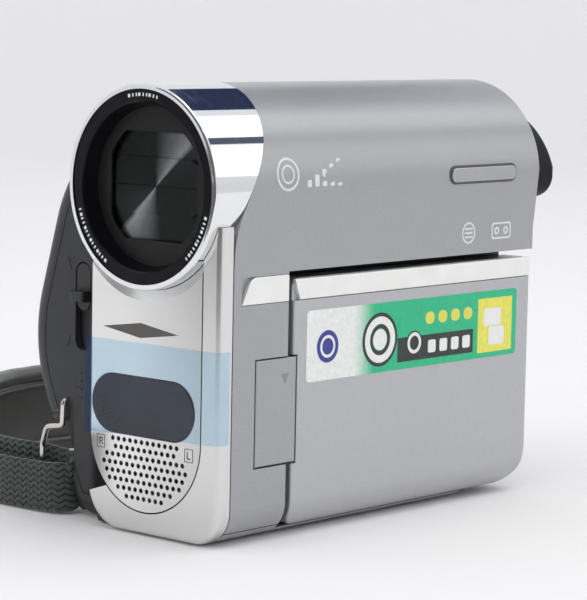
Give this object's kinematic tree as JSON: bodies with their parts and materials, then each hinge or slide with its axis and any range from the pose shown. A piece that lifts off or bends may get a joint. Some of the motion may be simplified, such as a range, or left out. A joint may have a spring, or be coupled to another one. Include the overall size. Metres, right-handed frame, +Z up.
{
  "type": "camcorder",
  "caption": "Compact upright tape camcorder with a swing-out screen, sliding lens cover, viewfinder, rear battery and padded hand strap.",
  "frame": {"origin": "mouth of the tripod socket, in the plane the camcorder stands on", "axes": "+Z up, -Y out of the lens, +X towards the swing-out screen, -X towards the grip and hand strap"},
  "size_m": [0.1055, 0.1118, 0.09],
  "materials": {
    "shell": "satin metallic silver lacquer",
    "bright_trim": "bright satin silver lacquer",
    "front_silver": "fine satin silver lacquer",
    "lens_ring": "polished",
    "black_gloss": "glossy black",
    "black_matte": "matte black",
    "grip": "dark grey, fine texture",
    "window": "dark tinted, glossy",
    "blades": "brushed, dark anodised",
    "lens": "clear, coated",
    "screen": "dark glossy screen",
    "button": "satin silver",
    "record": "glossy red",
    "steel": "plain",
    "deck_metal": "bare sheet",
    "rubber": "matte",
    "board": "solder mask",
    "battery": "dark grey",
    "webbing": "woven polyamide webbing",
    "pad": "black leatherette over foam"
  },
  "bodies": {
    "camcorder": {"front_frame": "front_silver", "front_panel": "front_silver", "ir_window": "window", "microphones": "black_matte", "lens_ring": "lens_ring", "name_ring": "black_matte", "shutter_mask": "black_matte", "shutter_frame": "black_matte", "front_lens": "lens", "lens_barrel": "black_matte", "side_cabinet": "shell", "side_trim": "bright_trim", "recess_cover": "black_matte", "speaker": "black_matte", "hinge_bracket": "steel", "grip_front_cover": "grip", "grip_lower_cover": "grip", "grip_top_cover": "grip", "lid_hinge_pin": "steel", "tape_deck": "deck_metal", "rear_cover": "grip", "jack_block": "black_matte", "battery_terminal": "black_matte", "bottom_cover": "grip", "tripod_socket": "steel", "foot_strips": "rubber", "case_screws": "steel", "main_board": "board", "viewfinder_housing": "black_matte", "viewfinder_eyecup": "rubber", "eyepiece_lens": "lens", "strap_hooks": "steel", "strap_webbing": "webbing", "strap_pad": "pad"},
    "cover_slider": {"lens_cover_switch": "grip"},
    "blade_upper_inner": {"blade_upper_inner": "blades"},
    "blade_lower_inner": {"blade_lower_inner": "blades"},
    "blade_upper_outer": {"blade_upper_outer": "blades"},
    "blade_lower_outer": {"blade_lower_outer": "blades"},
    "screen": {"lcd_cover": "shell", "lcd_trim": "bright_trim", "lcd_bezel": "grip", "lcd_screen": "screen", "lcd_hinge_block": "shell", "lcd_hinge_shaft": "steel"},
    "screen_button": {"lcd_button": "button"},
    "zoom_lever": {"zoom_lever": "button"},
    "photo_button": {"photo_button": "button"},
    "eject_lever": {"eject_lever": "button"},
    "cassette_lid": {"cassette_lid": "grip"},
    "cassette_holder": {"cassette_holder": "deck_metal"},
    "head_drum": {"head_drum": "deck_metal"},
    "supply_reel": {"supply_reel": "black_matte"},
    "takeup_reel": {"takeup_reel": "black_matte"},
    "mode_dial": {"mode_dial": "button"},
    "record_button": {"record_button": "record"},
    "battery": {"battery_pack": "battery"},
    "battery_latch": {"battery_latch": "black_matte"},
    "jack_cover": {"jack_cover": "grip"},
    "diopter_lever": {"diopter_lever": "black_matte"}
  },
  "joints": [
    {"name": "lens_cover_slide", "type": "slide", "parent": "camcorder", "child": "cover_slider", "axis": [0, 0, -1], "range_m": [0, 0.008]},
    {"name": "upper_inner_blade_slide", "type": "slide", "parent": "camcorder", "child": "blade_upper_inner", "axis": [0, 0, 1], "range_m": [0, 0.01075]},
    {"name": "lower_inner_blade_slide", "type": "slide", "parent": "camcorder", "child": "blade_lower_inner", "axis": [0, 0, -1], "range_m": [0, 0.01075]},
    {"name": "upper_outer_blade_slide", "type": "slide", "parent": "camcorder", "child": "blade_upper_outer", "axis": [0, 0, 1], "range_m": [0, 0.0066]},
    {"name": "lower_outer_blade_slide", "type": "slide", "parent": "camcorder", "child": "blade_lower_outer", "axis": [0, 0, -1], "range_m": [0, 0.0066]},
    {"name": "screen_hinge", "type": "hinge", "parent": "camcorder", "child": "screen", "pos_m": [0.0176, -0.035, 0.02585], "axis": [0, 0, -1], "range_deg": [0, 90]},
    {"name": "screen_button_press", "type": "slide", "parent": "screen", "child": "screen_button", "axis": [1, 0, 0], "range_m": [0, 0.0004], "stiffness_N_per_m": 500},
    {"name": "zoom_rock", "type": "hinge", "parent": "camcorder", "child": "zoom_lever", "pos_m": [-0.0216, 0.031, 0.08], "axis": [0, 0, 1], "range_deg": [-12, 12], "stiffness_Nm_per_rad": 0.004},
    {"name": "photo_button_press", "type": "slide", "parent": "camcorder", "child": "photo_button", "axis": [0, 0, -1], "range_m": [0, 0.0008], "stiffness_N_per_m": 400},
    {"name": "record_button_press", "type": "slide", "parent": "camcorder", "child": "record_button", "axis": [0, -1, 0], "range_m": [0, 0.0008], "stiffness_N_per_m": 400},
    {"name": "eject_slide", "type": "slide", "parent": "camcorder", "child": "eject_lever", "axis": [0, -1, 0], "range_m": [0, 0.004], "stiffness_N_per_m": 80},
    {"name": "mode_dial_turn", "type": "hinge", "parent": "camcorder", "child": "mode_dial", "pos_m": [-0.0293, 0.0478, 0.0415], "axis": [0, 1, 0], "range_deg": [-30, 60]},
    {"name": "cassette_lid_hinge", "type": "hinge", "parent": "camcorder", "child": "cassette_lid", "pos_m": [-0.0332, 0.001, 0.0205], "axis": [0, -1, 0], "range_deg": [0, 30]},
    {"name": "cassette_holder_swing", "type": "hinge", "parent": "camcorder", "child": "cassette_holder", "pos_m": [-0.0263, -0.0038, 0.0242], "axis": [0, -1, 0], "range_deg": [0, 18]},
    {"name": "drum_spin", "type": "hinge", "parent": "camcorder", "child": "head_drum", "pos_m": [-0.022, -0.0038, 0.0215], "axis": [1, 0, 0], "continuous": true},
    {"name": "supply_reel_spin", "type": "hinge", "parent": "camcorder", "child": "supply_reel", "pos_m": [-0.018, -0.0193, 0.047], "axis": [1, 0, 0], "continuous": true},
    {"name": "takeup_reel_spin", "type": "hinge", "parent": "camcorder", "child": "takeup_reel", "pos_m": [-0.018, 0.0117, 0.047], "axis": [1, 0, 0], "continuous": true},
    {"name": "battery_slide", "type": "slide", "parent": "camcorder", "child": "battery", "axis": [0, 0, 1], "range_m": [0, 0.0055]},
    {"name": "battery_latch_slide", "type": "slide", "parent": "camcorder", "child": "battery_latch", "axis": [1, 0, 0], "range_m": [0, 0.0035], "stiffness_N_per_m": 80},
    {"name": "jack_cover_hinge", "type": "hinge", "parent": "camcorder", "child": "jack_cover", "pos_m": [-0.0263, 0.04665, 0.0135], "axis": [-1, 0, 0], "range_deg": [0, 110]},
    {"name": "diopter_slide", "type": "slide", "parent": "camcorder", "child": "diopter_lever", "axis": [1, 0, 0], "range_m": [-0.004, 0.004]}
  ],
  "couplings": [
    {"joint": "upper_inner_blade_slide", "follows": "lens_cover_slide", "ratio": 1.3438},
    {"joint": "lower_inner_blade_slide", "follows": "lens_cover_slide", "ratio": 1.3438},
    {"joint": "upper_outer_blade_slide", "follows": "lens_cover_slide", "ratio": 0.825},
    {"joint": "lower_outer_blade_slide", "follows": "lens_cover_slide", "ratio": 0.825},
    {"joint": "cassette_holder_swing", "follows": "cassette_lid_hinge", "ratio": 0.6}
  ]
}
